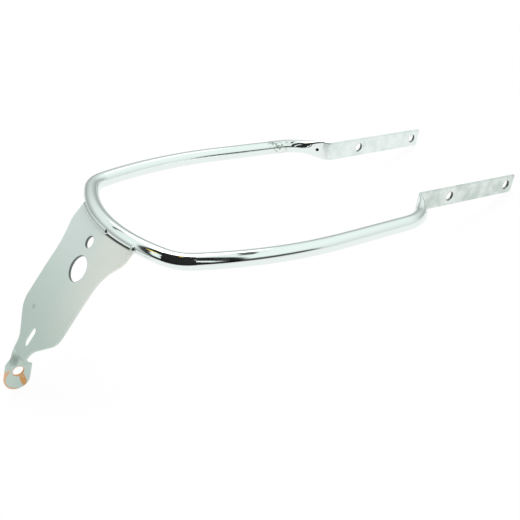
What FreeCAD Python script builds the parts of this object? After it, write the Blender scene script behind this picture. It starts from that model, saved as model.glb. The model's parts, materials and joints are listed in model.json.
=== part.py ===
import FreeCAD, Part
import math
import os

# Rear grab bar of a moped, in millimetres and degrees.
# One steel tube is bent into a U, its two ends are pressed flat, joggled inwards and folded into bolt-on
# strips, and a sheet-metal tail plate with a twisted foot is welded under the rear of the U.
# Everything is drawn with the U lying level: X across, +Y to the strips, Z up, origin at the rear middle of
# the tube's centreline. At the end the whole bar is tipped onto its foot and its two strip ends.

# Tube, bent from the rear middle outwards
TUBE_DIAMETER = 16.0
TUBE_WALL = 1.5
REAR_RADIUS = 164.0
REAR_HALF_TURN = 28.0
CORNER_RADIUS = 35.0
CORNER_TURN = 43.5
SIDE_RADIUS = 436.0
SIDE_TURN = 20.5
ARM_STRAIGHT = 95.0

# Flattened end of each arm: the joggle, the fold and the strip
JOG_RADIUS = 60.0
JOG_TURN = 58.5
FLATTEN_LENGTH = 32.0
FLAT_NECK = 2.0
FOLD_RADIUS = 5.0
STRIP_TOE_OUT = 1.3
STRIP_LENGTH = 161.5
STRIP_LOWER_CORNER = 5.0
STRIP_UPPER_CORNER = 1.5
STRIP_HOLE_DIAMETER = 11.0
STRIP_HOLE_PITCH = 101.0
STRIP_END_MARGIN = 12.5
VENT_DIAMETER = 4.0
VENT_FROM_FLAT = 10.0

# Tail plate: drops are measured down the sheet from the line where it meets the tube
PLATE_THICKNESS = 2.5
PLATE_SLOPE = 33.6
SEAT_ANGLE = 8.5
SEAT_OVERLAP = 8.0
DISH_LENGTH = 72.0
EAR_HALF_WIDTH = 53.0
EAR_END = 8.5
EAR_RADIUS = 18.5
WAIST_RADIUS = 60.0
SIDE_HALF_WIDTH = 41.4
SIDE_END = 99.6
LOWER_CORNER_RADIUS = 21.0
TAPER_ANGLE = 47.0
NECK_FILLET = 18.5
SMALL_HOLE_DIAMETER = 12.0
SMALL_HOLE_DROP = 17.4
BIG_HOLE_DIAMETER = 26.0
BIG_HOLE_DROP = 43.6
BIG_HOLE_OFFSET = 7.0
SLOT_WIDTH = 9.0
SLOT_LENGTH = 20.0
SLOT_DROP = 125.7

# Foot: the neck bends upright, twists a quarter turn and ends in a round tab with a bolt hole
FOOT_HALF_WIDTH = 12.8
FOOT_SLOPE = 9.0
NECK_BEND_RADIUS = 5.0
TWIST_LENGTH = 12.0
TWIST_WAIST = 4.6
FOOT_HOLE_DIAMETER = 11.0
FOOT_HOLE_DROP = 6.8
FOOT_END_DROP = 15.0

# Welds on the line where the plate meets the tube, placed by their distance from the middle
BEAD_RADIUS = 4.0
BEAD_HEIGHT = 1.8
BEAD_FROM = -46.0
BEAD_TO = 12.0
TACK_RADIUS = 3.6
TACK_HEIGHT = 2.2
TACK_AT = 52.0

# Fineness of the lofts, and how far a cutting tool runs past what it cuts
FLATTEN_STEPS = 5
DISH_STEPS = 5
TWIST_STEPS = 6
OVERCUT = 20.0

ORIGIN = FreeCAD.Vector(0, 0, 0)
ACROSS = FreeCAD.Vector(1, 0, 0)
UP = FreeCAD.Vector(0, 0, 1)
TUBE_RADIUS = TUBE_DIAMETER / 2


def sine(angle):
    return math.sin(math.radians(angle))


def cosine(angle):
    return math.cos(math.radians(angle))


def eased(share):
    """Smooth step from 0 to 1."""
    return share * share * (3 - 2 * share)


def between(start, end, share):
    return start + (end - start) * share


def fused(shapes):
    """One solid from pieces that share faces, with the seams between them taken out."""
    return shapes[0].multiFuse(shapes[1:]).removeSplitter()


class Place:
    """A point of the tube's centreline, with the level direction that the tube runs in."""

    def __init__(self, point, heading):
        self.point = point
        self.heading = heading
        self.along = FreeCAD.Vector(cosine(heading), sine(heading), 0)
        self.left = FreeCAD.Vector(-sine(heading), cosine(heading), 0)

    def at(self, sideways, height, ahead=0.0):
        return self.point + self.left * sideways + UP * height + self.along * ahead

    def after_line(self, length):
        return Place(self.at(0, 0, length), self.heading)

    def bend_centre(self, radius, turn):
        return self.at(math.copysign(radius, turn), 0)

    def after_bend(self, radius, turn):
        ahead = Place(self.bend_centre(radius, turn), self.heading + turn)
        return Place(ahead.at(-math.copysign(radius, turn), 0), ahead.heading)


def bent(face, place, radius, turn):
    """Cross-section swept round one bend, to the left for a positive turn."""
    return face.revolve(place.bend_centre(radius, turn), UP * math.copysign(1, turn), abs(turn))


def disc(place, radius):
    return Part.Face(Part.Wire(Part.Circle(place.point, place.along, radius).toShape()))


# Right arm: places along its centreline, from the rear middle to the start of the strip
FLATTEN_TURN = math.degrees(FLATTEN_LENGTH / JOG_RADIUS)
ROUND_JOG_TURN = JOG_TURN - FLATTEN_TURN
MIDDLE = Place(ORIGIN, 0.0)
CORNER_START = MIDDLE.after_bend(REAR_RADIUS, REAR_HALF_TURN)
SIDE_START = CORNER_START.after_bend(CORNER_RADIUS, CORNER_TURN)
ARM_START = SIDE_START.after_bend(SIDE_RADIUS, SIDE_TURN)
JOG_START = ARM_START.after_line(ARM_STRAIGHT)
FLATTEN_START = JOG_START.after_bend(JOG_RADIUS, ROUND_JOG_TURN)
NECK_START = FLATTEN_START.after_bend(JOG_RADIUS, FLATTEN_TURN)
FOLD_START = NECK_START.after_line(FLAT_NECK)
FOLD_TURN = 90 - STRIP_TOE_OUT - FOLD_START.heading
STRIP_START = FOLD_START.after_bend(FOLD_RADIUS, FOLD_TURN)


def straight_half(half_thickness):
    """Half length of the straight sides of a tube pressed flatter; its skin keeps its length."""
    return math.pi * (TUBE_RADIUS - half_thickness) / 2


STRIP_HALF_HEIGHT = straight_half(TUBE_WALL) + TUBE_WALL


def squashed_wire(place, half_thickness, straight, flatness):
    """Outline of the pressed tube: two round ends, and two sides bowed until the flatness is 1."""
    corner_angle = 45 * (1 - flatness)
    side = half_thickness * cosine(corner_angle)
    corner = straight + half_thickness * sine(corner_angle)
    top = straight + half_thickness
    corners = [place.at(x, z) for x, z in ((side, -corner), (side, corner), (-side, corner), (-side, -corner))]
    middles = [place.at(x, z) for x, z in ((half_thickness, 0), (0, top), (-half_thickness, 0), (0, -top))]
    edges = []
    for index, middle in enumerate(middles):
        start = corners[index]
        end = corners[(index + 1) % len(corners)]
        is_flat_side = flatness == 1 and index % 2 == 0
        curve = Part.LineSegment(start, end) if is_flat_side else Part.Arc(start, middle, end)
        edges.append(curve.toShape())
    return Part.Wire(edges)


def flattening():
    """The tube where it goes from round to pressed flat along the joggle."""
    wires = []
    for step in range(FLATTEN_STEPS + 1):
        share = step / FLATTEN_STEPS
        place = FLATTEN_START.after_bend(JOG_RADIUS, FLATTEN_TURN * share)
        half_thickness = between(TUBE_RADIUS, TUBE_WALL, eased(share))
        wires.append(squashed_wire(place, half_thickness, straight_half(half_thickness), share))
    return Part.makeLoft(wires, True)


def round_arm():
    """Round part of the right arm, from the rear middle to where it starts to flatten."""
    return [
        bent(disc(MIDDLE, TUBE_RADIUS), MIDDLE, REAR_RADIUS, REAR_HALF_TURN),
        bent(disc(CORNER_START, TUBE_RADIUS), CORNER_START, CORNER_RADIUS, CORNER_TURN),
        bent(disc(SIDE_START, TUBE_RADIUS), SIDE_START, SIDE_RADIUS, SIDE_TURN),
        disc(ARM_START, TUBE_RADIUS).extrude(ARM_START.along * ARM_STRAIGHT),
        bent(disc(JOG_START, TUBE_RADIUS), JOG_START, JOG_RADIUS, ROUND_JOG_TURN),
    ]


def corner_cut(radius, side):
    """Tool that rounds the strip's end corner at its top (side 1) or bottom (side -1)."""
    inner = STRIP_LENGTH - radius
    past_end = STRIP_LENGTH + OVERCUT
    edge = STRIP_HALF_HEIGHT * side
    past_edge = edge + OVERCUT * side
    inside = edge - radius * side
    bulge = radius * sine(45)

    def at(ahead, height):
        return STRIP_START.at(-OVERCUT, height, ahead)

    arc = Part.Arc(at(inner, edge), at(inner + bulge, inside + bulge * side), at(STRIP_LENGTH, inside))
    outside = [at(STRIP_LENGTH, inside), at(past_end, inside), at(past_end, past_edge)]
    outside += [at(inner, past_edge), at(inner, edge)]
    wire = Part.Wire([arc.toShape()] + Part.makePolygon(outside).Edges)
    return Part.Face(wire).extrude(STRIP_START.left * 2 * OVERCUT)


def strip():
    """Flat bolt-on strip at the end of the right arm, its end corners rounded."""
    section = Part.Face(squashed_wire(STRIP_START, TUBE_WALL, straight_half(TUBE_WALL), 1))
    bar = section.extrude(STRIP_START.along * STRIP_LENGTH)
    return bar.cut([corner_cut(STRIP_LOWER_CORNER, -1), corner_cut(STRIP_UPPER_CORNER, 1)])


def strip_hole_distances():
    last = STRIP_LENGTH - STRIP_END_MARGIN
    return [last - STRIP_HOLE_PITCH, last]


def strip_holes():
    radius = STRIP_HOLE_DIAMETER / 2
    return [Part.makeCylinder(radius, 2 * OVERCUT, STRIP_START.at(-OVERCUT, 0, ahead), STRIP_START.left)
            for ahead in strip_hole_distances()]


def vent_hole():
    """Drain hole for the plating bath, in the inner side of the joggle, down to the tube's centreline."""
    turn_back = math.degrees(VENT_FROM_FLAT / JOG_RADIUS)
    place = FLATTEN_START.after_bend(JOG_RADIUS, FLATTEN_TURN - turn_back)
    return Part.makeCylinder(VENT_DIAMETER / 2, OVERCUT, place.point, place.left)


def both_sides(shapes):
    return shapes + [shape.mirror(ORIGIN, ACROSS) for shape in shapes]


def tube_envelope():
    """The tube with its flattened ends, not yet drilled; it is closed all round and drawn solid inside."""
    flat = squashed_wire(NECK_START, TUBE_WALL, straight_half(TUBE_WALL), 1)
    folded = squashed_wire(FOLD_START, TUBE_WALL, straight_half(TUBE_WALL), 1)
    arm = round_arm() + [
        flattening(),
        Part.Face(flat).extrude(NECK_START.along * FLAT_NECK),
        bent(Part.Face(folded), FOLD_START, FOLD_RADIUS, FOLD_TURN),
        strip(),
    ]
    return fused(both_sides(arm))


def bent_tube(envelope):
    """The tube as it is, drilled and vented."""
    return envelope.cut(both_sides(strip_holes() + [vent_hole()]))


# Tail plate: the middle of its seam on the tube, and the outline's turning points
SEAT_POINT = FreeCAD.Vector(0, -TUBE_RADIUS * cosine(SEAT_ANGLE), -TUBE_RADIUS * sine(SEAT_ANGLE))
SEAT_CURVATURE = 1 / (REAR_RADIUS + TUBE_RADIUS * cosine(SEAT_ANGLE))
WAIST_TURN = math.degrees(math.acos(1 - (EAR_HALF_WIDTH - SIDE_HALF_WIDTH) / (EAR_RADIUS + WAIST_RADIUS)))
WAIST_END = EAR_END + (EAR_RADIUS + WAIST_RADIUS) * sine(WAIST_TURN)
TAPER_START = SIDE_END + LOWER_CORNER_RADIUS * sine(TAPER_ANGLE)
TAPER_START_HALF = SIDE_HALF_WIDTH - LOWER_CORNER_RADIUS * (1 - cosine(TAPER_ANGLE))
TAPER_END_HALF = FOOT_HALF_WIDTH + NECK_FILLET * (1 - cosine(TAPER_ANGLE))
TAPER_END = TAPER_START + (TAPER_START_HALF - TAPER_END_HALF) / math.tan(math.radians(TAPER_ANGLE))
NECK_DROP = TAPER_END + NECK_FILLET * sine(TAPER_ANGLE)


def down_slope(slope):
    return FreeCAD.Vector(0, -sine(slope), -cosine(slope))


def inward(slope):
    return FreeCAD.Vector(0, cosine(slope), -sine(slope))


PLATE_INWARD = inward(PLATE_SLOPE)


def sheet_at(across, drop, depth=0.0):
    """Point of the sheet before it is dished, at a depth under its outer face."""
    return SEAT_POINT + ACROSS * across + down_slope(PLATE_SLOPE) * drop + PLATE_INWARD * depth


def dished_wire(drop):
    """Cross-section of the dished sheet: two parabolas a thickness apart, flatter the lower they are."""
    half_width = EAR_HALF_WIDTH + OVERCUT
    fade = min(1.0, 1 - drop / DISH_LENGTH) ** 2
    forward = PLATE_INWARD * (SEAT_CURVATURE * half_width ** 2 / 2 * cosine(PLATE_SLOPE) * fade)

    def face_curve(depth):
        poles = [sheet_at(-half_width, drop, depth) + forward,
                 sheet_at(0, drop, depth) - forward,
                 sheet_at(half_width, drop, depth) + forward]
        curve = Part.BezierCurve()
        curve.setPoles(poles)
        return poles[0], curve.toShape(), poles[2]

    outer_left, outer, outer_right = face_curve(0)
    inner_left, inner, inner_right = face_curve(PLATE_THICKNESS)
    right_end = Part.LineSegment(outer_right, inner_right).toShape()
    left_end = Part.LineSegment(inner_left, outer_left).toShape()
    return Part.Wire(Part.__sortEdges__([outer, right_end, inner, left_end]))


def dished_sheet():
    """The sheet before it is cut out: dished round the tube at the top, flat from the dish's end down."""
    run = DISH_LENGTH + SEAT_OVERLAP
    drops = [run * step / DISH_STEPS - SEAT_OVERLAP for step in range(DISH_STEPS + 1)]
    dished = Part.makeLoft([dished_wire(drop) for drop in drops], True)
    half_width = EAR_HALF_WIDTH + OVERCUT
    corners = [sheet_at(-half_width, DISH_LENGTH), sheet_at(half_width, DISH_LENGTH),
               sheet_at(half_width, NECK_DROP), sheet_at(-half_width, NECK_DROP)]
    flat = Part.Face(Part.makePolygon(corners + corners[:1])).extrude(PLATE_INWARD * PLATE_THICKNESS)
    return [dished, flat]


def half_outline(side):
    """Edge of the plate from the top of an ear down to the neck, right (side 1) or left (side -1)."""
    ear_turn = WAIST_TURN / 2
    lower_turn = TAPER_ANGLE / 2
    ear_bow = EAR_HALF_WIDTH - EAR_RADIUS * (1 - cosine(ear_turn))
    ear_low_half = EAR_HALF_WIDTH - EAR_RADIUS * (1 - cosine(WAIST_TURN))
    ear_low = EAR_END + EAR_RADIUS * sine(WAIST_TURN)
    waist_bow = SIDE_HALF_WIDTH + WAIST_RADIUS * (1 - cosine(ear_turn))
    corner_bow = SIDE_HALF_WIDTH - LOWER_CORNER_RADIUS * (1 - cosine(lower_turn))
    neck_bow = FOOT_HALF_WIDTH + NECK_FILLET * (1 - cosine(lower_turn))
    ear_top = (EAR_HALF_WIDTH, -SEAT_OVERLAP - OVERCUT)
    runs = [
        [ear_top, (EAR_HALF_WIDTH, EAR_END)],
        [(ear_bow, EAR_END + EAR_RADIUS * sine(ear_turn)), (ear_low_half, ear_low)],
        [(waist_bow, WAIST_END - WAIST_RADIUS * sine(ear_turn)), (SIDE_HALF_WIDTH, WAIST_END)],
        [(SIDE_HALF_WIDTH, SIDE_END)],
        [(corner_bow, SIDE_END + LOWER_CORNER_RADIUS * sine(lower_turn)), (TAPER_START_HALF, TAPER_START)],
        [(TAPER_END_HALF, TAPER_END)],
        [(neck_bow, NECK_DROP - NECK_FILLET * sine(lower_turn)), (FOOT_HALF_WIDTH, NECK_DROP)],
        [(FOOT_HALF_WIDTH, NECK_DROP + OVERCUT)],
    ]
    edges = []
    last = None
    for index, run in enumerate(runs):
        points = [sheet_at(side * half, drop) for half, drop in run]
        if index == 0:
            edges.append(Part.LineSegment(*points).toShape())
        elif len(points) == 2:
            edges.append(Part.Arc(last, *points).toShape())
        else:
            edges.append(Part.LineSegment(last, points[0]).toShape())
        last = points[-1]
    return edges


def plate_outline():
    """The punched outline as a prism square to the sheet."""
    top = -SEAT_OVERLAP - OVERCUT
    low = NECK_DROP + OVERCUT
    top_edge = Part.LineSegment(sheet_at(-EAR_HALF_WIDTH, top), sheet_at(EAR_HALF_WIDTH, top))
    low_edge = Part.LineSegment(sheet_at(-FOOT_HALF_WIDTH, low), sheet_at(FOOT_HALF_WIDTH, low))
    edges = half_outline(1) + half_outline(-1) + [top_edge.toShape(), low_edge.toShape()]
    face = Part.Face(Part.Wire(Part.__sortEdges__(edges)))
    face.translate(PLATE_INWARD * -2 * OVERCUT)
    return face.extrude(PLATE_INWARD * 4 * OVERCUT)


def punch(across, drop, radius, rise=0.0):
    """Round or oblong punch through the sheet; rise is half the oblong's straight part."""
    middle = sheet_at(across, drop, -OVERCUT)
    down = down_slope(PLATE_SLOPE) * rise
    side = ACROSS * radius
    upper = Part.makeCylinder(radius, 2 * OVERCUT, middle - down, PLATE_INWARD)
    if rise == 0:
        return upper
    lower = Part.makeCylinder(radius, 2 * OVERCUT, middle + down, PLATE_INWARD)
    corners = [middle - down - side, middle - down + side, middle + down + side, middle + down - side]
    between_rounds = Part.Face(Part.makePolygon(corners + corners[:1]))
    return fused([upper, lower, between_rounds.extrude(PLATE_INWARD * 2 * OVERCUT)])


# Foot: middle of the strip where the neck starts to bend and to twist, top of the tab, its hole and round end
BEND_START = sheet_at(0, NECK_DROP, PLATE_THICKNESS / 2)
BEND_CENTRE = BEND_START + PLATE_INWARD * NECK_BEND_RADIUS
TWIST_START = BEND_CENTRE - inward(FOOT_SLOPE) * NECK_BEND_RADIUS
TAB_TOP = TWIST_START + down_slope(FOOT_SLOPE) * TWIST_LENGTH
FOOT_HOLE = TAB_TOP + down_slope(FOOT_SLOPE) * FOOT_HOLE_DROP
FOOT_END = TAB_TOP + down_slope(FOOT_SLOPE) * FOOT_END_DROP


def foot_section(middle, direction, facing, half_width=FOOT_HALF_WIDTH):
    """Rectangle of the foot's strip about its middle, square to its direction and facing one way."""
    wide = direction.cross(facing) * half_width
    deep = facing * (PLATE_THICKNESS / 2)
    corners = [middle + wide + deep, middle - wide + deep, middle - wide - deep, middle + wide - deep]
    return Part.makePolygon(corners + corners[:1])


def foot_bend():
    neck = Part.Face(foot_section(BEND_START, down_slope(PLATE_SLOPE), PLATE_INWARD))
    return neck.revolve(BEND_CENTRE, ACROSS, PLATE_SLOPE - FOOT_SLOPE)


def foot_twist():
    """Quarter twist of the strip, from facing the rear to facing the right, drawn in to a waist halfway."""
    wires = []
    for step in range(TWIST_STEPS + 1):
        share = step / TWIST_STEPS
        turn = 90 * share
        facing = inward(FOOT_SLOPE) * -cosine(turn) + ACROSS * sine(turn)
        middle = TWIST_START + down_slope(FOOT_SLOPE) * (TWIST_LENGTH * share)
        half_width = FOOT_HALF_WIDTH - TWIST_WAIST * sine(180 * share)
        wires.append(foot_section(middle, down_slope(FOOT_SLOPE), facing, half_width))
    return Part.makeLoft(wires, True)


def foot_tab():
    """Round-ended tab on the twisted strip, drilled for the foot's bolt."""
    def at(side, drop):
        on_middle = TAB_TOP + inward(FOOT_SLOPE) * side + down_slope(FOOT_SLOPE) * drop
        return on_middle - ACROSS * (PLATE_THICKNESS / 2)

    half = FOOT_HALF_WIDTH
    sides = Part.makePolygon([at(-half, FOOT_END_DROP), at(-half, 0), at(half, 0), at(half, FOOT_END_DROP)])
    around = Part.Arc(at(half, FOOT_END_DROP), at(0, FOOT_END_DROP + half), at(-half, FOOT_END_DROP))
    face = Part.Face(Part.Wire(sides.Edges + [around.toShape()]))
    hole = Part.makeCylinder(FOOT_HOLE_DIAMETER / 2, 2 * OVERCUT, FOOT_HOLE - ACROSS * OVERCUT, ACROSS)
    return face.extrude(ACROSS * PLATE_THICKNESS).cut(hole)


def tail_plate(envelope):
    """The sheet, coped to the tube, cut out and punched, and drawn out into the foot."""
    slot_rise = (SLOT_LENGTH - SLOT_WIDTH) / 2
    sheet = fused(dished_sheet()).common(plate_outline())
    sheet = sheet.cut([punch(0, SMALL_HOLE_DROP, SMALL_HOLE_DIAMETER / 2),
                       punch(BIG_HOLE_OFFSET, BIG_HOLE_DROP, BIG_HOLE_DIAMETER / 2),
                       punch(0, SLOT_DROP, SLOT_WIDTH / 2, slot_rise), envelope])
    return fused([sheet, foot_bend(), foot_twist(), foot_tab()])


def seam_at(across, reach):
    """Point over the seam at a distance from the tube's centreline, and its angle round the rear bend."""
    angle = math.degrees(math.asin(across * SEAT_CURVATURE))
    radius = REAR_RADIUS + reach * cosine(SEAT_ANGLE)
    level = FreeCAD.Vector(0, REAR_RADIUS, -reach * sine(SEAT_ANGLE))
    return level + FreeCAD.Vector(sine(angle), -cosine(angle), 0) * radius, angle


def outside_of(weld, envelope, plate):
    """What is left of a weld outside the tube and the plate, on the outer side of the seam."""
    pieces = weld.cut([envelope, plate]).Solids
    return max(pieces, key=lambda piece: piece.Volume)


def weld_bead(envelope, plate):
    """Long, low bead over the left and middle of the seam, round at both ends."""
    reach = TUBE_RADIUS + BEAD_HEIGHT - BEAD_RADIUS
    start, start_angle = seam_at(BEAD_FROM, reach)
    end, end_angle = seam_at(BEAD_TO, reach)
    along = FreeCAD.Vector(cosine(start_angle), sine(start_angle), 0)
    section = Part.Face(Part.Wire(Part.Circle(start, along, BEAD_RADIUS).toShape()))
    bead = section.revolve(FreeCAD.Vector(0, REAR_RADIUS, 0), UP, end_angle - start_angle)
    ends = [Part.makeSphere(BEAD_RADIUS, point) for point in (start, end)]
    return outside_of(fused([bead] + ends), envelope, plate)


def weld_tack(envelope, plate):
    """Single tack at the right ear."""
    centre, _ = seam_at(TACK_AT, TUBE_RADIUS + TACK_HEIGHT - TACK_RADIUS)
    return outside_of(Part.makeSphere(TACK_RADIUS, centre, ACROSS), envelope, plate)


def rest_tilt():
    """Angle by which the U is tipped when its foot and its strip ends stand on one floor."""
    corner = STRIP_START.at(0, STRIP_LOWER_CORNER - STRIP_HALF_HEIGHT, STRIP_LENGTH - STRIP_LOWER_CORNER)
    rise = math.degrees(math.atan2(corner.z - FOOT_END.z, corner.y - FOOT_END.y))
    reach = math.hypot(corner.z - FOOT_END.z, corner.y - FOOT_END.y)
    return rise - math.degrees(math.asin((STRIP_LOWER_CORNER - FOOT_HALF_WIDTH) / reach))


def rest_placement(shapes):
    """Tips the bar by its rest tilt and sets its box on the floor, centred on the origin."""
    tip = FreeCAD.Placement(ORIGIN, FreeCAD.Rotation(ACROSS, -rest_tilt()))
    tipped = Part.makeCompound(list(shapes))
    tipped.Placement = tip
    box = tipped.optimalBoundingBox(False, False)
    shift = FreeCAD.Vector(-box.Center.x, -box.Center.y, -box.ZMin)
    return FreeCAD.Placement(shift, tip.Rotation)


def build():
    envelope = tube_envelope()
    plate = tail_plate(envelope)
    nodes = {
        "bent_tube": bent_tube(envelope),
        "tail_plate": plate,
        "weld_bead": weld_bead(envelope, plate),
        "weld_tack": weld_tack(envelope, plate),
    }
    rest = rest_placement(nodes.values())
    for shape in nodes.values():
        shape.Placement = rest.multiply(shape.Placement)
    return nodes, rest


NODES, REST = build()
os.makedirs("parts", exist_ok=True)
for name, shape in NODES.items():
    shape.exportStep("parts/" + name + ".step")
    print(name, "solids", len(shape.Solids), "valid", shape.isValid(), "volume", round(shape.Volume))
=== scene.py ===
import json
import math

import bpy
from mathutils import Matrix, Quaternion, Vector

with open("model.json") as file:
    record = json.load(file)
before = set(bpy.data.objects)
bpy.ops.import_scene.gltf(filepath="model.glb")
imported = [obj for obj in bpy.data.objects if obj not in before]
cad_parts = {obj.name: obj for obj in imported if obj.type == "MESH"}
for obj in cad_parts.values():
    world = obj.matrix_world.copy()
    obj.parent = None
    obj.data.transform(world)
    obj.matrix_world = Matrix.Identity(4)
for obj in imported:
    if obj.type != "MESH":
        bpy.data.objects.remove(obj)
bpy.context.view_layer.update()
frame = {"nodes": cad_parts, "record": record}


# Bent tube. The real one is a single length of 16 mm steel tube, bent cold into a U, pressed flat at both
# ends, then polished and chrome plated as one piece. Its round part is mirror bright, with a scuffed patch
# on the left arm; the pressed strips kept the press's blotchy skin, which is duller on the right one.
def feed(tree, socket, value):
    """Links a socket to the one that feeds it, or sets its value."""
    if isinstance(value, bpy.types.NodeSocket):
        tree.links.new(value, socket)
    else:
        socket.default_value = value


def add_node(tree, kind, inputs=None, **settings):
    """New node; each input is given a value or the socket that feeds it."""
    made = tree.nodes.new(kind)
    for name, value in settings.items():
        setattr(made, name, value)
    for name, value in (inputs or {}).items():
        feed(tree, made.inputs[name], value)
    return made


def ramp(tree, value, start, end, low=0.0, high=1.0):
    """Smooth step from low, where the value is at the start, to high, where it is at the end."""
    steps = {"Value": value, "From Min": start, "From Max": end, "To Min": low, "To Max": high}
    return add_node(tree, "ShaderNodeMapRange", steps, interpolation_type="SMOOTHSTEP").outputs["Result"]


def calculate(tree, operation, first, second=0.0):
    return add_node(tree, "ShaderNodeMath", {0: first, 1: second}, operation=operation).outputs["Value"]


def product(tree, *masks):
    result = masks[0]
    for mask in masks[1:]:
        result = calculate(tree, "MULTIPLY", result, mask)
    return result


def blend(tree, factor, first, second):
    """Colour that is the first where the factor is 0 and the second where it is 1."""
    colours = {"Factor": factor, "A": first, "B": second}
    return add_node(tree, "ShaderNodeMix", colours, data_type="RGBA").outputs["Result"]


def split(tree, vector):
    return add_node(tree, "ShaderNodeSeparateXYZ", {"Vector": vector}).outputs


def join(tree, **parts):
    """Vector of the parts that are given; the others are 0."""
    return add_node(tree, "ShaderNodeCombineXYZ", parts).outputs["Vector"]


def distance(tree, where, point):
    between = {0: where, 1: point}
    return add_node(tree, "ShaderNodeVectorMath", between, operation="DISTANCE").outputs["Value"]


def within(tree, away, reach, fade):
    """Mask of all that is less than the reach away, with a soft edge as wide as the fade."""
    return ramp(tree, away, reach, reach - fade)


def speckle(tree, where, scale, start, end, detail=4.0):
    """Mask of random patches: the share of the surface shrinks as start and end go up."""
    patches = add_node(tree, "ShaderNodeTexNoise", {"Vector": where, "Scale": scale, "Detail": detail})
    return ramp(tree, patches.outputs["Fac"], start, end)


def new_material(name, metallic=1.0):
    material = bpy.data.materials.new(name)
    material.use_nodes = True
    tree = material.node_tree
    shader = tree.nodes["Principled BSDF"]
    shader.inputs["Metallic"].default_value = metallic
    where = tree.nodes.new("ShaderNodeTexCoord").outputs["Object"]
    return material, tree, shader, where


def dress(node_name, material):
    piece = frame["nodes"][node_name]
    piece.data.materials.clear()
    piece.data.materials.append(material)


def make_plating_group():
    """Plated steel: clouds in its gloss and its colour, and a shallow unevenness of the metal under it."""
    tree = bpy.data.node_groups.new("plating", "ShaderNodeTree")
    for name in ("Base Roughness", "Cloud", "Cloud Scale"):
        tree.interface.new_socket(name, in_out="INPUT", socket_type="NodeSocketFloat")
    for name in ("Roughness", "Cloud Mask", "Height"):
        tree.interface.new_socket(name, in_out="OUTPUT", socket_type="NodeSocketFloat")
    given = tree.nodes.new("NodeGroupInput").outputs
    result = tree.nodes.new("NodeGroupOutput").inputs
    where = tree.nodes.new("ShaderNodeTexCoord").outputs["Object"]
    clouds = speckle(tree, where, given["Cloud Scale"], start=0.35, end=0.70, detail=6.0)
    clouded = calculate(tree, "ADD", given["Base Roughness"], product(tree, clouds, given["Cloud"]))
    waves = {"Vector": where, "Scale": given["Cloud Scale"], "Detail": 2.0}
    feed(tree, result["Cloud Mask"], clouds)
    feed(tree, result["Roughness"], clouded)
    feed(tree, result["Height"], add_node(tree, "ShaderNodeTexNoise", waves).outputs["Fac"])
    return tree


def plated(tree, roughness, cloud, cloud_scale):
    group = tree.nodes.new("ShaderNodeGroup")
    group.node_tree = plating
    group.inputs["Base Roughness"].default_value = roughness
    group.inputs["Cloud"].default_value = cloud
    group.inputs["Cloud Scale"].default_value = cloud_scale
    return group.outputs


def unevenness(tree, height, strength, depth):
    bump = {"Height": height, "Strength": strength, "Distance": depth}
    return add_node(tree, "ShaderNodeBump", bump).outputs["Normal"]


plating = make_plating_group()
mounts = {mount["name"]: mount for mount in frame["record"]["mounts"]}

MM = 0.001
TUBE_CHROME = (0.86, 0.93, 0.905, 1.0)
RIGHT_STRIP_DULL = (0.58, 0.66, 0.62, 1.0)
RIGHT_STRIP_BRIGHT = (0.84, 0.90, 0.87, 1.0)
LEFT_STRIP_DULL = (0.74, 0.84, 0.81, 1.0)
LEFT_STRIP_BRIGHT = (0.92, 0.98, 0.96, 1.0)
STRIP_HOLE_SHADE = (0.10, 0.12, 0.11, 1.0)
SCUFF = (0.36, 0.40, 0.35, 1.0)
VENT_SHADE = (0.01, 0.01, 0.01, 1.0)
U_TILT = math.radians(14.369)
STRIP_FROM_Y = 0.144
STRIP_TO_Y = 0.156
SIDE_FADE = 0.02
STRIP_HOLE_RIM = 0.0003
STRIP_HOLE_FADE = 0.0002
SCUFF_MIDDLE = (-0.118, 0.099, 0.071)
SCUFF_REACH = 0.022
SCUFF_FADE = 0.0088
VENT_INSIDE = (0.08978, 0.14424, 0.05331)
VENT_REACH = 0.0025
VENT_FADE = 0.000125

tube_chrome, tree, shader, where = new_material("tube_chrome")
place = split(tree, where)
side_on = join(tree, Y=place["Y"], Z=place["Z"])
either_side = join(tree, X=calculate(tree, "ABSOLUTE", place["X"]), Y=place["Y"], Z=place["Z"])
pressed = ramp(tree, place["Y"], STRIP_FROM_Y, STRIP_TO_Y)
on_right = ramp(tree, place["X"], -SIDE_FADE, SIDE_FADE)
bright = plated(tree, roughness=0.05, cloud=0.06, cloud_scale=40.0)
dull = plated(tree, roughness=0.26, cloud=0.14, cloud_scale=70.0)

right_strip = blend(tree, dull["Cloud Mask"], RIGHT_STRIP_DULL, RIGHT_STRIP_BRIGHT)
left_strip = blend(tree, dull["Cloud Mask"], LEFT_STRIP_DULL, LEFT_STRIP_BRIGHT)
strips = blend(tree, on_right, left_strip, right_strip)
colour = blend(tree, pressed, TUBE_CHROME, strips)

strip_bolts = mounts["right_strip_bolts"]
strip_middle = Vector(strip_bolts["pos_m"])
strip_hole_radius = strip_bolts["dims"]["hole_r_mm"] * MM
u_normal = Vector((0.0, math.sin(U_TILT), math.cos(U_TILT)))
along_strip = u_normal.cross(Vector(strip_bolts["axis"]))
half_pitch = along_strip * strip_bolts["dims"]["pcd_mm"] / 2 * MM
# Painted shade: the walls of the strip's two bolt holes, and a thin rim round them, are painted dark.
for hole in (strip_middle - half_pitch, strip_middle + half_pitch):
    from_hole = distance(tree, side_on, (0.0, hole.y, hole.z))
    hole_wall = within(tree, from_hole, strip_hole_radius + STRIP_HOLE_RIM, STRIP_HOLE_FADE)
    colour = blend(tree, hole_wall, colour, STRIP_HOLE_SHADE)

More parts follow.
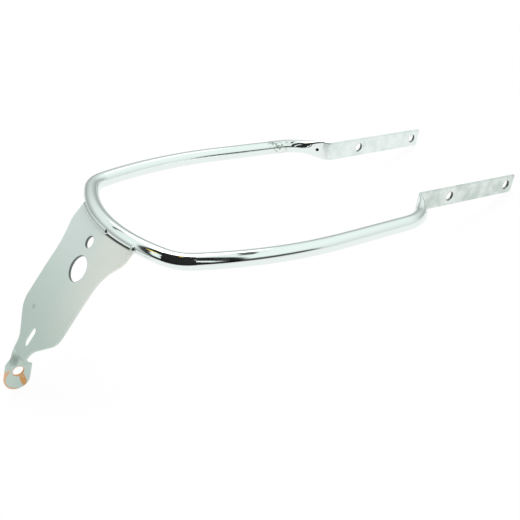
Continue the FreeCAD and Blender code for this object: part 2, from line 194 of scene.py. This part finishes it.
near_scuff = within(tree, distance(tree, where, SCUFF_MIDDLE), SCUFF_REACH, SCUFF_FADE)
scuffed = product(tree, near_scuff, speckle(tree, where, scale=260.0, start=0.48, end=0.60))
colour = blend(tree, scuffed, colour, SCUFF)
# Painted shade: a small spot at the vent hole on each arm is painted near black, for the shade inside the
# hole.
vent_shade = within(tree, distance(tree, either_side, VENT_INSIDE), VENT_REACH, VENT_FADE)
colour = blend(tree, vent_shade, colour, VENT_SHADE)

gloss = {"Factor": pressed, "A": bright["Roughness"], "B": dull["Roughness"]}
strip_waves = product(tree, dull["Height"], pressed)
feed(tree, shader.inputs["Base Color"], colour)
feed(tree, shader.inputs["Roughness"], add_node(tree, "ShaderNodeMix", gloss).outputs["Result"])
feed(tree, shader.inputs["Normal"], unevenness(tree, strip_waves, strength=0.25, depth=0.0004))
dress("bent_tube", tube_chrome)


# Tail plate. A blank of 2.5 mm sheet steel, punched, dished to the tube, twisted at its foot and plated
# with the tube. The sheet wasn't polished, so its chrome is satin; its colour is painted lighter towards
# its top and upper right, a painted reflection. The open right half of the seam is painted near black,
# painted shade between sheet and tube, and the foot has rusted round its bolt and on its edge.
def along(tree, where, direction):
    """How far a place lies along a direction."""
    measured = {0: where, 1: direction}
    return add_node(tree, "ShaderNodeVectorMath", measured, operation="DOT_PRODUCT").outputs["Value"]


ORIGIN = (0.0, 0.0, 0.0)
ACROSS = Vector((1.0, 0.0, 0.0))
PLATE_SHADED_LOW = (0.585, 0.705, 0.645, 1.0)
PLATE_LIT_HIGH = (0.77, 0.87, 0.83, 1.0)
PLATE_LIT_RIGHT = (0.84, 0.88, 0.81, 1.0)
PLATE_METALLIC = 0.45
HOLE_SHADE = (0.16, 0.19, 0.18, 1.0)
DIRT_AND_SHADE = (0.02, 0.02, 0.02, 1.0)
RUST = (0.72, 0.36, 0.11, 1.0)
PALE_RUST = (0.86, 0.50, 0.26, 1.0)
PLATE_LOW_Z = 0.045
PLATE_HIGH_Z = 0.125
PLATE_RIGHT_FROM_X = -0.010
PLATE_RIGHT_TO_X = 0.045
HOLE_RIM = 0.0004
HOLE_FADE = 0.0003
TUBE_RADIUS = 0.008
REAR_RADIUS = 0.164
REAR_MIDDLE = Vector((0.0, -0.17647, 0.13547))
SEAM_FROM_X = 0.010
SEAM_TO_X = 0.052
SEAM_FADE = 0.004
CREVICE_REACH = 0.0022
CREVICE_FADE = 0.0014
MARK_MIDDLE = (-0.0205, -0.2609, 0.0673)
MARK_REACH = 0.0036
MARK_FADE = 0.0021
MARK_STRENGTH = 0.6
FOOT_HOLE_RIM = 0.0006
FOOT_HOLE_FADE = 0.0004
FOOT_END = (0.0, -0.30209, 0.01280)
FOOT_HALF_WIDTH = 0.0128
STREAK_MIDDLE = Vector((0.0, -0.2975, 0.0085))
STREAK_HALF_SIZE = Vector((1.0, 0.0034, 0.0110))
RUSTY_EDGE_FROM = FOOT_HALF_WIDTH - 0.0022
RUSTY_EDGE_TO = FOOT_HALF_WIDTH - 0.0006
RUSTY_EDGE_FROM_Y = -0.3035
RUSTY_EDGE_TO_Y = -0.3075
RUSTY_EDGE_FROM_Z = 0.0280
RUSTY_EDGE_TO_Z = 0.0230

plate_chrome, tree, shader, where = new_material("plate_chrome")
place = split(tree, where)
side_on = join(tree, Y=place["Y"], Z=place["Z"])
satin = plated(tree, roughness=0.42, cloud=0.12, cloud_scale=30.0)
# Painted reflection: the plate's colour is lighter towards its top and lighter still to its upper right.
lit_upper = ramp(tree, place["Z"], PLATE_LOW_Z, PLATE_HIGH_Z)
lit_upper_right = product(tree, lit_upper, ramp(tree, place["X"], PLATE_RIGHT_FROM_X, PLATE_RIGHT_TO_X))
colour = blend(tree, lit_upper, PLATE_SHADED_LOW, PLATE_LIT_HIGH)
colour = blend(tree, lit_upper_right, colour, PLATE_LIT_RIGHT)

# Painted shade: the walls of the plate's bolt and grommet holes, and a thin rim round them, are painted
# dark.
for name in ("plate_bolt", "plate_grommet"):
    hole = mounts[name]
    down_plate = ACROSS.cross(Vector(hole["axis"]))
    on_sheet = join(tree, X=place["X"], Y=along(tree, where, down_plate))
    middle = Vector(hole["pos_m"])
    from_hole = distance(tree, on_sheet, (middle.x, middle.dot(down_plate), 0.0))
    hole_wall = within(tree, from_hole, hole["dims"]["r_mm"] * MM + HOLE_RIM, HOLE_FADE)
    colour = blend(tree, hole_wall, colour, HOLE_SHADE)

# Distance from the tube's skin, with the U laid level and the centre of its rear bend at the origin.
bend_centre = Matrix.Rotation(U_TILT, 3, "X") @ REAR_MIDDLE + Vector((0.0, REAR_RADIUS, 0.0))
laid_level = {"Vector": where, "Rotation": (U_TILT, 0.0, 0.0), "Location": -bend_centre}
level_place = split(tree, add_node(tree, "ShaderNodeMapping", laid_level).outputs["Vector"])
from_centre = distance(tree, join(tree, X=level_place["X"], Y=level_place["Y"]), ORIGIN)
outwards = calculate(tree, "SUBTRACT", from_centre, REAR_RADIUS)
from_centreline = distance(tree, join(tree, X=outwards, Y=level_place["Z"]), ORIGIN)
from_skin = calculate(tree, "SUBTRACT", from_centreline, TUBE_RADIUS)

# Painted shade: over the open right half of the seam, the sheet next to the tube is painted near black.
right_of_bead = ramp(tree, place["X"], SEAM_FROM_X, SEAM_FROM_X + SEAM_FADE)
left_of_tack = ramp(tree, place["X"], SEAM_TO_X, SEAM_TO_X - SEAM_FADE)
at_tube = within(tree, from_skin, CREVICE_REACH, CREVICE_FADE)
seam_shade = product(tree, right_of_bead, left_of_tack, at_tube)
near_mark = within(tree, distance(tree, where, MARK_MIDDLE), MARK_REACH, MARK_FADE)
mark = product(tree, near_mark, speckle(tree, where, scale=500.0, start=0.45, end=0.60), MARK_STRENGTH)
# The seam's painted shade and the speckled mark lower on the plate share one near black colour.
colour = blend(tree, calculate(tree, "MAXIMUM", seam_shade, mark), colour, DIRT_AND_SHADE)

foot_hole = mounts["foot_bolt"]
from_hole = distance(tree, side_on, foot_hole["pos_m"])
hole_wall = within(tree, from_hole, foot_hole["dims"]["r_mm"] * MM + FOOT_HOLE_RIM, FOOT_HOLE_FADE)
to_streak = {"Vector": side_on, "Location": STREAK_MIDDLE, "Scale": STREAK_HALF_SIZE}
streak_place = add_node(tree, "ShaderNodeMapping", to_streak, vector_type="TEXTURE").outputs["Vector"]
in_streak = within(tree, distance(tree, streak_place, ORIGIN), reach=1.0, fade=0.3)
streak = product(tree, in_streak, speckle(tree, where, scale=260.0, start=0.22, end=0.48))
rusty = calculate(tree, "MAXIMUM", hole_wall, streak)
rusty_edge = product(tree, ramp(tree, distance(tree, side_on, FOOT_END), RUSTY_EDGE_FROM, RUSTY_EDGE_TO),
                     ramp(tree, place["Y"], RUSTY_EDGE_FROM_Y, RUSTY_EDGE_TO_Y),
                     ramp(tree, place["Z"], RUSTY_EDGE_FROM_Z, RUSTY_EDGE_TO_Z))
colour = blend(tree, rusty, colour, RUST)
colour = blend(tree, rusty_edge, colour, PALE_RUST)

# Where there is rust or painted seam shade, the surface is not metallic.
rust_and_shade = calculate(tree, "MAXIMUM", calculate(tree, "MAXIMUM", rusty, rusty_edge), seam_shade)
feed(tree, shader.inputs["Base Color"], colour)
feed(tree, shader.inputs["Metallic"], ramp(tree, rust_and_shade, 0.0, 1.0, low=PLATE_METALLIC, high=0.0))
feed(tree, shader.inputs["Roughness"], satin["Roughness"])
dress("tail_plate", plate_chrome)


# Welds. A long arc-welded bead and one tack join the sheet to the rear of the tube. They were run by hand,
# so their surface is a little uneven, and both were plated over with the rest.
WELD_CHROME = (0.72, 0.79, 0.77, 1.0)

weld_chrome, tree, shader, where = new_material("weld_chrome")
beaded = plated(tree, roughness=0.20, cloud=0.10, cloud_scale=260.0)
shader.inputs["Base Color"].default_value = WELD_CHROME
feed(tree, shader.inputs["Roughness"], beaded["Roughness"])
feed(tree, shader.inputs["Normal"], unevenness(tree, beaded["Height"], strength=0.35, depth=0.0006))
dress("weld_bead", weld_chrome)
dress("weld_tack", weld_chrome)


# Floor. A plain white studio sweep that the bar stands on, with the bar's soft shadow. In the mirror of the
# chrome the sweep greys with distance and ends a little way in front of the camera, where the room is dark.
def glow(tree, strength):
    return add_node(tree, "ShaderNodeEmission", {"Strength": strength}).outputs["Emission"]


def swap(tree, factor, first, second):
    """Shader that is the first where the factor is 0 and the second where it is 1."""
    return add_node(tree, "ShaderNodeMixShader", {0: factor, 1: first, 2: second}).outputs["Shader"]


FLOOR_RADIUS = 1.8
FLOOR_SIDES = 96
FLOOR_COLOUR = (0.9, 0.9, 0.9, 1.0)
FLOOR_ROUGHNESS = 0.9
SEEN_STRENGTH = 1.02
SEEN_SHARE = 0.9
MIRRORED_LEVEL = 0.95
MIRRORED_DARK = 0.02
EDGE_DIRECTION = (0.74, -0.67, 0.0)
EDGE_DISTANCE = 0.62
EDGE_SOFTNESS = 0.06
GREY_FROM = 0.35
GREY_TO = 0.95
GREY_LEVEL = 0.75

bpy.ops.object.select_all(action="DESELECT")
bpy.ops.mesh.primitive_circle_add(vertices=FLOOR_SIDES, radius=FLOOR_RADIUS, fill_type="NGON",
                                  location=ORIGIN)
floor = bpy.context.object
floor.name = "floor"

sweep, tree, shader, where = new_material("sweep", metallic=0.0)
shader.inputs["Base Color"].default_value = FLOOR_COLOUR
shader.inputs["Roughness"].default_value = FLOOR_ROUGHNESS
shader.inputs["Specular IOR Level"].default_value = 0.0
rays = tree.nodes.new("ShaderNodeLightPath").outputs
to_edge = along(tree, where, EDGE_DIRECTION)
lit = ramp(tree, to_edge, EDGE_DISTANCE, EDGE_DISTANCE + EDGE_SOFTNESS, MIRRORED_LEVEL, MIRRORED_DARK)
greyed = ramp(tree, distance(tree, where, ORIGIN), GREY_FROM, GREY_TO, 1.0, GREY_LEVEL)
mirrored = glow(tree, product(tree, lit, greyed))
mostly_white = product(tree, rays["Is Camera Ray"], SEEN_SHARE)
seen = swap(tree, mostly_white, shader.outputs["BSDF"], glow(tree, SEEN_STRENGTH))
all_rays = swap(tree, rays["Is Glossy Ray"], seen, mirrored)
feed(tree, tree.nodes["Material Output"].inputs["Surface"], all_rays)
floor.data.materials.append(sweep)


# Studio. White all round as the camera sees it. In the chrome it is a white tent of two panels, greyer to
# the horizon, with a dark seam in each and a gap under the front one. The tent is open to the dark room
# behind the camera, in which two tall windows and two small warm lamps are lit.
WHITE = (1.0, 1.0, 1.0, 1.0)
WHITE_STRENGTH = 1.0
FILL_STRENGTH = 0.76
TENT_COLOUR = (0.95, 1.0, 0.985, 1.0)
HORIZON_LEVEL = 0.50
HORIZON_RIGHT_LEVEL = 0.85
HORIZON_RIGHT_X = 0.5
HORIZON_Z = 0.05
OVERHEAD_Z = 0.55
LEFT_PANEL_LEVEL = 0.88
LEFT_PANEL_FROM_X = -0.2
LEFT_PANEL_TO_X = -0.8
LEFT_PANEL_EDGE = Vector((0.93, -0.12, 0.36))
FRONT_PANEL_EDGE = Vector((0.13, -0.90, 0.40))
PANEL_SOFTNESS = 0.03
PANEL_SEAM_LEVEL = 0.1
ROOM_DARKNESS = 0.98
LAMP_DIRECTIONS = (Vector((-0.013, 0.159, 0.987)), Vector((-0.223, -0.573, 0.788)))
LAMP_ANGLE = 3.0
LAMP_SOFTNESS = 0.4
LAMP_STRENGTH = 1.8
LAMP_COLOUR = (1.0, 0.72, 0.10, 1.0)
KEY_PLACE = (-0.7, 0.5, 1.5)
KEY_AIM = Vector((0.0, 0.0, 0.05))
KEY_WATTS = 12.0
KEY_SIZE = 1.2

# Each window, seam or gap is a band: the normal of the plane that it lies along, half its width, its middle
# and its reach from there in degrees.
RIGHT_WINDOW = (Vector((-0.041, 0.988, -0.151)), 0.036, Vector((0.84, 0.12, 0.53)), 20.0)
REAR_WINDOW = (Vector((0.978, 0.011, 0.210)), 0.045, Vector((-0.073, -0.835, 0.545)), 20.0)
LEFT_PANEL_SEAM = (Vector((0.714, -0.103, 0.693)), 0.024, Vector((-0.68, 0.14, 0.72)), 24.0)
FRONT_PANEL_SEAM = (Vector((0.180, 0.780, -0.600)), 0.030, Vector((0.07, 0.60, 0.79)), 18.0)
FRONT_PANEL_GAP = (Vector((0.0, 0.0, 1.0)), 0.250, Vector((0.93, 0.34, 0.10)), 16.0)
BAND_SOFTNESS = 0.3
BAND_END_SOFTNESS = 4.0

world = bpy.data.worlds.new("studio")
bpy.context.scene.world = world
world.use_nodes = True
tree = world.node_tree
tree.nodes.clear()
look = tree.nodes.new("ShaderNodeTexCoord").outputs["Generated"]


def round_patch(direction, angle, softness):
    """Mask of all that lies within an angle of a direction."""
    outer = math.cos(math.radians(angle + softness))
    inner = math.cos(math.radians(angle - softness))
    return ramp(tree, along(tree, look, direction.normalized()), outer, inner)


def beyond_edge(normal):
    """Mask of all that lies past the edge of a panel, on the side that the normal points to."""
    return ramp(tree, along(tree, look, normal), -PANEL_SOFTNESS, PANEL_SOFTNESS)


def band(normal, half_width, middle, reach):
    """Mask of a long narrow window, seam or gap."""
    aside = calculate(tree, "ABSOLUTE", along(tree, look, normal))
    in_slice = ramp(tree, aside, half_width * (1 + BAND_SOFTNESS), half_width * (1 - BAND_SOFTNESS))
    return product(tree, in_slice, round_patch(middle, reach, BAND_END_SOFTNESS))


def light(colour, strength):
    lit_by = {"Color": colour, "Strength": strength}
    return add_node(tree, "ShaderNodeBackground", lit_by).outputs["Background"]


aim = split(tree, look)
horizon = ramp(tree, aim["X"], 0.0, HORIZON_RIGHT_X, HORIZON_LEVEL, HORIZON_RIGHT_LEVEL)
tent = ramp(tree, aim["Z"], HORIZON_Z, OVERHEAD_Z, horizon, 1.0)
left_panel = ramp(tree, aim["X"], LEFT_PANEL_FROM_X, LEFT_PANEL_TO_X, 1.0, LEFT_PANEL_LEVEL)
brightness = product(tree, tent, left_panel)
for seam in (LEFT_PANEL_SEAM, FRONT_PANEL_SEAM, FRONT_PANEL_GAP):
    brightness = product(tree, brightness, ramp(tree, band(*seam), 0.0, 1.0, 1.0, PANEL_SEAM_LEVEL))
dark_room = product(tree, ROOM_DARKNESS, beyond_edge(LEFT_PANEL_EDGE), beyond_edge(FRONT_PANEL_EDGE))
brightness = product(tree, brightness, calculate(tree, "SUBTRACT", 1.0, dark_room))
for window in (RIGHT_WINDOW, REAR_WINDOW):
    brightness = calculate(tree, "MAXIMUM", brightness, band(*window))
colour = TENT_COLOUR
for direction in LAMP_DIRECTIONS:
    lamp = round_patch(direction, LAMP_ANGLE, LAMP_SOFTNESS)
    brightness = calculate(tree, "MAXIMUM", brightness, product(tree, lamp, LAMP_STRENGTH))
    colour = blend(tree, lamp, colour, LAMP_COLOUR)

rays = tree.nodes.new("ShaderNodeLightPath").outputs
looked_at = calculate(tree, "MAXIMUM", rays["Is Camera Ray"], rays["Is Transmission Ray"])
plain = swap(tree, looked_at, light(WHITE, FILL_STRENGTH), light(WHITE, WHITE_STRENGTH))
all_rays = swap(tree, rays["Is Glossy Ray"], plain, light(colour, brightness))
add_node(tree, "ShaderNodeOutputWorld", {"Surface": all_rays})

bpy.ops.object.light_add(type="AREA", location=KEY_PLACE)
key = bpy.context.object
key.name = "key_light"
key.data.energy = KEY_WATTS
key.data.size = KEY_SIZE
key.rotation_euler = (KEY_AIM - key.location).to_track_quat("-Z", "Y").to_euler()


# Camera. A normal lens, from the right and behind, a little rolled, as the bar was photographed. Its place,
# turn and focal length were fitted, together with the bar's bends, to points read off the photo.
CAMERA_PLACE = (0.56816, -0.36212, 0.51921)
CAMERA_BACK = Vector((0.676584, -0.415468, 0.607964))
CAMERA_ROLL = -6.0007
SENSOR_MM = 36.0
FOCAL_PX = 740.15
IMAGE_PX = 520.0

camera_data = bpy.data.cameras.new("camera")
camera = bpy.data.objects.new("camera", camera_data)
bpy.context.scene.collection.objects.link(camera)
camera_data.sensor_width = SENSOR_MM
camera_data.lens = FOCAL_PX / IMAGE_PX * SENSOR_MM
camera.location = CAMERA_PLACE
camera.rotation_mode = "QUATERNION"
unrolled = CAMERA_BACK.to_track_quat("Z", "Y")
camera.rotation_quaternion = unrolled @ Quaternion((0, 0, 1), math.radians(CAMERA_ROLL))
bpy.context.scene.camera = camera
bpy.context.scene.view_settings.view_transform = "Standard"
